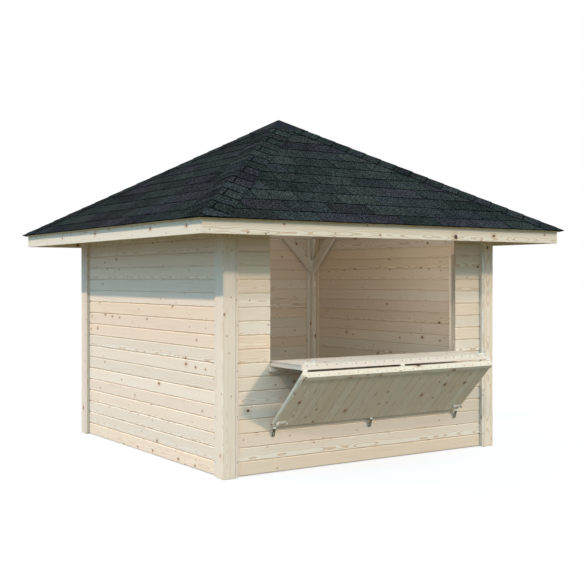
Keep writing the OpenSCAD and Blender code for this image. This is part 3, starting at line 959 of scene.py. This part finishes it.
def deck(name, turn, node):
    """Boarding under the shingles, level boards mitred at the hips with bevels below."""
    stock = Stock(DECK_SEED + turn)
    slope = Slope(turn)
    edge = -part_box("roof_deck_front")[0].y / math.cos(PITCH)
    high = edge
    while high > DECK_ROW / 2:
        low = max(high - DECK_ROW, DECK_RIDGE)
        section = matched_board(high - low, DECK_T, DECK_GROOVE, high < edge)

        def ends(v, w, low=low):
            half = max(slope.reach(low + v, DECK_TOP - w) - BOARD_GAP, 0.0)
            return (-half, half)

        start = Vector((0, 0, slope.apex)) + slope.down * low + slope.normal * DECK_TOP
        axes = slope.turn @ columns(RIGHT, slope.down, -slope.normal, start)
        stock.prism(section, ends, axes)
        high = low
        if low <= DECK_RIDGE:
            break
    stock.finish(name, DECKING_PAINTED_SHADE, "pine", "stall", node)


def roof():
    for turn, side in enumerate(("front", "right", "back", "left")):
        shingles("shingle_tabs_" + side, turn, "shingles_" + side)
        deck("roof_boards_" + side, turn, "roof_deck_" + side)
    # Dark sheets of bitumen and painted shade: the underlay, the hip caps' slot strips and the beds
    # under their butts.
    dark = Stock(UNDERLAY_SEED)
    for turn in range(4):
        underlay(dark, Slope(turn))
    hip_caps(dark)
    dark.finish("roof_underlay_and_shade", BITUMEN_AND_SHADE, "roof_felt", "stall").data.materials.append(BITUMEN_AND_SHADE)
    apex_cap()


# Folding shutter. The flap is laid out flat, in line with the counter, and then folded.


def joint(name):
    return next(item for item in frame["joints"] if item["name"] == name)


def fold():
    """Matrix that folds the outer leaf from flat to its rest place."""
    hinge = joint("flap_hinge")
    pin = Matrix.Translation(Vector(hinge["pos_m"]))
    angle = math.radians(hinge["range_deg"][1])
    return pin @ Matrix.Rotation(angle, 4, "X") @ pin.inverted()


def flat_box(node, place):
    """Box of a node's vertices after the inverse of place."""
    back = place.inverted()
    points = [back @ vert.co for vert in frame["nodes"][node].data.vertices]
    low = Vector([min(p[i] for p in points) for i in range(3)])
    high = Vector([max(p[i] for p in points) for i in range(3)])
    return low, high


def leaf(stock, low, high, place, crossbars):
    """Boards across the leaf on a frame of battens, as the solid has them."""
    width = (high.x - low.x) / LEAF_BOARDS
    section = matched_board(width, LEAF_SKIN, LEAF_GROOVE)
    last = matched_board(width, LEAF_SKIN, LEAF_GROOVE, False)
    for index in range(LEAF_BOARDS):
        origin = Vector((low.x + index * width, low.y, high.z))
        axes = place @ columns(BACK, RIGHT, -UP, origin)
        shape = last if index == LEAF_BOARDS - 1 else section
        stock.prism(shape, lambda v, w: (0, high.y - low.y), axes)
    under = low.z
    deep = high.z - LEAF_SKIN - low.z
    inner = high.x - low.x - 2 * LEAF_BATTEN
    for y in (low.y, high.y - LEAF_BATTEN):
        axes = place @ columns(RIGHT, BACK, UP, Vector((low.x + LEAF_BATTEN, y, under)))
        stock.bar((inner, LEAF_BATTEN, deep), axes, TRIM_EASE)
    middle = high.y - low.y - 2 * LEAF_BATTEN
    uprights = []
    for x in (low.x, high.x - LEAF_BATTEN):
        uprights.append((x, low.y, high.y - low.y, LEAF_BATTEN))
    for x in crossbars:
        uprights.append((x - LEAF_BATTEN, low.y + LEAF_BATTEN, middle, 2 * LEAF_BATTEN))
    for x, y, length, wide in uprights:
        axes = place @ columns(BACK, -RIGHT, UP, Vector((x + wide, y, under)))
        stock.bar((length, wide, deep), axes, TRIM_EASE)


def shutter():
    low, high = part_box("counter_panel")
    stock = Stock(COUNTER_SEED)
    leaf(stock, low, high, Matrix(), (-CROSSBAR_X, CROSSBAR_X))
    stock.finish("counter_boards", COUNTER_PAINTED_LIGHT, "pine_boards", "counter", "counter_panel")
    place = fold()
    flat_low, flat_high = flat_box("flap_panel", place)
    proud = flat_high.z - high.z
    stock = Stock(FLAP_SEED)
    leaf(stock, flat_low, Vector((flat_high.x, flat_high.y, high.z)), place, ())
    start = flat_low.x + STRIP_LEFT
    axes = place @ columns(RIGHT, BACK, UP, Vector((start, flat_high.y - STRIP_W, high.z)))
    stock.bar((flat_high.x - STRIP_RIGHT - start, STRIP_W, proud), axes, TRIM_EASE)
    stock.finish("flap_boards", FLAP_PAINTED_SHADE, "pine_boards", "flap", "flap_panel")
    width = (high.x - low.x) / LEAF_BOARDS
    heads = [low.x + (index + 0.5) * width for index in range(LEAF_BOARDS)]
    nail_z = high.z - LEAF_SKIN * LEAF_NAIL_SHARE
    spots = [(Vector((x, low.y, nail_z)), -BACK) for x in heads]
    nails("counter_nails", "counter", spots, COUNTER_NAIL_SEED)
    edge = flat_high.y
    spots = [(place @ Vector((x, edge, nail_z)), place.to_3x3() @ BACK) for x in heads]
    nails("flap_nails", "flap", spots, FLAP_NAIL_SEED)


# Fasteners


def head(stock, at, normal, radius, rise):
    """Low domed head on a surface."""
    side = normal.orthogonal().normalized()
    other = normal.cross(side)
    points = []
    rings = ((1.0, -0.3), (1.0, 0.35), (0.62, 0.85))
    count = 10
    for share, height in rings:
        for step in range(count):
            turn = math.tau * step / count
            spoke = side * math.cos(turn) + other * math.sin(turn)
            points.append(at + spoke * radius * share + normal * rise * height)
    points.append(at + normal * rise)
    faces = []
    for ring in range(len(rings) - 1):
        for step in range(count):
            a = ring * count + step
            b = ring * count + (step + 1) % count
            faces.append([a, b, b + count, a + count])
    top = (len(rings) - 1) * count
    faces += [[top + step, top + (step + 1) % count, len(points) - 1] for step in range(count)]
    faces.append(list(range(count - 1, -1, -1)))
    stock.piece(points, faces, columns(side, other, normal, at))


def nails(name, body, spots, seed):
    stock = Stock(seed)
    for at, normal in spots:
        head(stock, at, normal, NAIL_R, NAIL_H)
    stock.finish(name, NAIL, "zinc", body)


def trim_nails():
    """Nails in the outer strips beside the posts and along the fascias."""
    spots = []
    low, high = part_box("corner_trims")
    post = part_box("post_front_right")[0].x
    pitch = (high.z - low.z - 2 * TRIM_NAIL_END) / (TRIM_NAIL_ROWS - 1)
    for turn in range(4):
        for side in (-1, 1):
            for row in range(TRIM_NAIL_ROWS):
                z = low.z + TRIM_NAIL_END + pitch * row
                at = Vector((side * (post - TRIM_NAIL_INSET), low.y, z))
                spots.append((quarter(turn) @ at, quarter(turn).to_3x3() @ -BACK))
    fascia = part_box("fascias_front_back")[0]
    for turn in range(4):
        for index, x in enumerate(FASCIA_NAILS_X):
            at = Vector((x, fascia.y, fascia.z + FASCIA_NAILS_Z[index % 2]))
            spots.append((quarter(turn) @ at, quarter(turn).to_3x3() @ -BACK))
    nails("trim_nails", "stall", spots, TRIM_NAIL_SEED)


# Back door


def door():
    low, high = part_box("door_leaf")
    stock = Stock(DOOR_SEED)
    width = (high.x - low.x) / DOOR_BOARDS
    for index in range(DOOR_BOARDS):
        shape = matched_board(width, DOOR_SKIN, WALL_GROOVE, index < DOOR_BOARDS - 1)
        axes = columns(UP, RIGHT, -BACK, Vector((low.x + index * width, high.y, low.z)))
        stock.prism(shape, lambda v, w: (0, high.z - low.z), axes)
    deep = high.y - low.y - DOOR_SKIN
    long = high.x - low.x
    for z in (low.z + DOOR_LEDGE_INSET, (low.z + high.z) / 2, high.z - DOOR_LEDGE_INSET - DOOR_LEDGE_W):
        axes = columns(RIGHT, UP, -BACK, Vector((low.x, high.y - DOOR_SKIN, z)))
        stock.bar((long, DOOR_LEDGE_W, deep), axes, TIMBER_EASE)
    stock.finish("door_boards", BOARDS, "pine_boards", "stall", "door_leaf")
    strap_screws()


def strap_screws():
    """Screws in the two strap hinges of the door."""
    low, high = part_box("door_fittings")
    stock = Stock(SCREW_SEED)
    for z in (low.z + DOOR_STRAP_H / 2, high.z - DOOR_STRAP_H / 2):
        for x in DOOR_SCREWS_X:
            head(stock, Vector((low.x + x, low.y + DOOR_STRAP_T, z)), BACK, SCREW_R, SCREW_H)
    stock.finish("door_screws", ZINC, "zinc", "stall")


def timbers():
    """Framing that keeps its solids' shape."""
    eased = (
        "post_front_left", "post_front_right", "post_back_left", "post_back_right",
        "plates_front_back", "plates_sides", "knee_braces", "jamb_studs", "sill_board", "counter_ledger",
        "door_frame", "apex_block", "hip_rafters", "common_rafters", "jack_rafters",
    )
    for index, node in enumerate(eased):
        dress(node, TIMBER, "pine", "stall", TIMBER_EASE, TIMBER_SEED + index)
    dress("corner_trims", TIMBER, "pine", "stall", TRIM_EASE, TRIM_SEED)
    for index, node in enumerate(("fascias_front_back", "fascias_sides")):
        dress(node, FASCIA, "pine_boards", "stall", TRIM_EASE, FASCIA_SEED + index)


def fittings():
    stall = ("sill_hinges", "door_fittings")
    counter = ("counter_hinges", "counter_brackets")
    flap = ("flap_hinges", "flap_brackets", "hasps")
    for body, nodes in (("stall", stall), ("counter", counter), ("flap", flap)):
        for index, node in enumerate(nodes):
            metal = STRAP if node == "hasps" else ZINC
            dress(node, metal, "zinc", body, METAL_EASE, METAL_SEED + index)


# Stage, light and camera

CAMERA_AT = (-5.4452, -8.3999, 1.6112)
CAMERA_YAW = 33.73
CAMERA_FOCAL_PX = 991.0
HORIZON_PX = 279.22
IMAGE_PX = 584
SENSOR_MM = 36.0
FAR_CLIP = 500.0
GLOW_W = 1.9
GLOW_INSET = 0.038
GLOW_COLOUR = (1.0, 1.0, 0.99)
GLOW_WATTS = 15.8
DOME_LEFT = (0.62, 1.09, 1.50, 1.0)
DOME_RIGHT = (0.72, 0.86, 0.84, 1.0)
DOME_LOW = 0.66
DOME_HIGH = 1.24
DOME_HIGH_FROM = 0.55
WHITE = (1.0, 1.0, 1.0, 1.0)
FLOOR_HALF = 120.0
FLOOR_BOUNCE = (0.112, 0.096, 0.046, 1.0)
FLOOR_PALE = (0.95, 0.95, 0.95, 1.0)
FLOOR_GLOW_SHARE = 0.72


def camera():
    """Level camera at the photo's place, with the horizon set by its shift."""
    data = bpy.data.cameras.new("camera")
    data.sensor_width = SENSOR_MM
    data.lens = CAMERA_FOCAL_PX * SENSOR_MM / IMAGE_PX
    data.shift_y = (HORIZON_PX - IMAGE_PX / 2) / IMAGE_PX
    data.clip_end = FAR_CLIP
    eye = bpy.data.objects.new("camera", data)
    eye.location = CAMERA_AT
    eye.rotation_euler = (math.radians(90), 0, -math.radians(CAMERA_YAW))
    scene.collection.objects.link(eye)
    scene.camera = eye


def sun(name, travel, colour, strength, spread):
    """Sun whose light goes the way of travel. Spread is its angle in degrees."""
    data = bpy.data.lights.new(name, "SUN")
    data.color = colour
    data.energy = strength
    data.angle = math.radians(spread)
    lamp = bpy.data.objects.new(name, data)
    lamp.rotation_euler = Vector(travel).to_track_quat("-Z", "Y").to_euler()
    scene.collection.objects.link(lamp)


def lights():
    """A sun on the left wall, one on the front, a weak one on both, and the room's glow."""
    sun("side_sun", travel=(1.0, -0.90, -1.134), colour=(1.0, 0.735, 0.575), strength=2.66, spread=1.5)
    sun("front_sun", travel=(-0.60, 1.0, -0.69), colour=(1.0, 0.785, 0.625), strength=1.50, spread=4.5)
    sun("fill_sun", travel=(1.0, 1.0, -1.15), colour=(1.0, 0.80, 0.66), strength=0.60, spread=1.2)
    opening_glow()


def opening_glow():
    """Soft light through the serving opening that lifts the room behind it.

    It lies where the boards of the closed shutter stand, so they cover it when the stall is closed.
    """
    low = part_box("counter_panel")[1]
    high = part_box("front_wall_over")[0]
    data = bpy.data.lights.new("opening_glow", "AREA")
    data.shape = "RECTANGLE"
    data.size = GLOW_W
    data.size_y = high.z - low.z
    data.color = GLOW_COLOUR
    data.energy = GLOW_WATTS
    lamp = bpy.data.objects.new("opening_glow", data)
    lamp.location = (0, low.y + GLOW_INSET, (low.z + high.z) / 2)
    lamp.rotation_euler = (math.radians(90), 0, 0)
    lamp.visible_camera = False
    lamp.visible_glossy = False
    scene.collection.objects.link(lamp)


def world():
    """White backdrop. As light it is a dome, blue on the left and brighter overhead."""
    sky = bpy.data.worlds.new("studio")
    scene.world = sky
    sky.use_nodes = True
    nodes = sky.node_tree.nodes
    links = sky.node_tree.links
    nodes.clear()
    out = nodes.new("ShaderNodeOutputWorld")
    dome = nodes.new("ShaderNodeBackground")
    way = nodes.new("ShaderNodeSeparateXYZ")
    links.new(nodes.new("ShaderNodeTexCoord").outputs["Generated"], way.inputs[0])
    rightwards = nodes.new("ShaderNodeMapRange")
    rightwards.inputs["From Min"].default_value = -1.0
    links.new(way.outputs["X"], rightwards.inputs["Value"])
    tone = nodes.new("ShaderNodeMix")
    tone.data_type = "RGBA"
    tone.inputs[6].default_value = DOME_LEFT
    tone.inputs[7].default_value = DOME_RIGHT
    links.new(rightwards.outputs[0], tone.inputs[0])
    links.new(tone.outputs[2], dome.inputs["Color"])
    upwards = nodes.new("ShaderNodeMapRange")
    for label, value in (("From Max", DOME_HIGH_FROM), ("To Min", DOME_LOW), ("To Max", DOME_HIGH)):
        upwards.inputs[label].default_value = value
    links.new(way.outputs["Z"], upwards.inputs["Value"])
    links.new(upwards.outputs[0], dome.inputs["Strength"])
    white = nodes.new("ShaderNodeBackground")
    white.inputs["Color"].default_value = WHITE
    white.inputs["Strength"].default_value = 1.0
    mix = nodes.new("ShaderNodeMixShader")
    links.new(seen_rays(sky.node_tree), mix.inputs[0])
    links.new(dome.outputs[0], mix.inputs[1])
    links.new(white.outputs[0], mix.inputs[2])
    links.new(mix.outputs[0], out.inputs["Surface"])


def seen_rays(tree):
    """1 for camera, glossy and transmission rays, or else 0."""
    path = tree.nodes.new("ShaderNodeLightPath")
    total = path.outputs["Is Camera Ray"]
    for label in ("Is Glossy Ray", "Is Transmission Ray"):
        node = tree.nodes.new("ShaderNodeMath")
        node.operation = "MAXIMUM"
        tree.links.new(total, node.inputs[0])
        tree.links.new(path.outputs[label], node.inputs[1])
        total = node.outputs[0]
    return total


def floor():
    """Floor that looks white with a soft shadow of the stall, and throws back a dim warm light."""
    bm = bmesh.new()
    bmesh.ops.create_grid(bm, x_segments=1, y_segments=1, size=FLOOR_HALF)
    mesh = bpy.data.meshes.new("floor")
    bm.to_mesh(mesh)
    bm.free()
    ground = bpy.data.objects.new("floor", mesh)
    scene.collection.objects.link(ground)
    s = Shader("floor")
    bounce = s.add("ShaderNodeBsdfDiffuse")
    bounce.inputs["Color"].default_value = FLOOR_BOUNCE
    pale = s.add("ShaderNodeBsdfDiffuse")
    pale.inputs["Color"].default_value = FLOOR_PALE
    glow = s.add("ShaderNodeEmission")
    glow.inputs["Color"].default_value = WHITE
    shown = s.add("ShaderNodeMixShader")
    shown.inputs[0].default_value = FLOOR_GLOW_SHARE
    s.put(shown.inputs[1], pale.outputs[0])
    s.put(shown.inputs[2], glow.outputs[0])
    mix = s.add("ShaderNodeMixShader")
    s.put(mix.inputs[0], seen_rays(s.tree))
    s.put(mix.inputs[1], bounce.outputs[0])
    s.put(mix.inputs[2], shown.outputs[0])
    s.put(s.out.inputs["Surface"], mix.outputs[0])
    mesh.materials.append(s.material)


walls()
roof()
shutter()
door()
timbers()
fittings()
trim_nails()
floor()
lights()
world()
camera()
scene.view_settings.view_transform = "Standard"
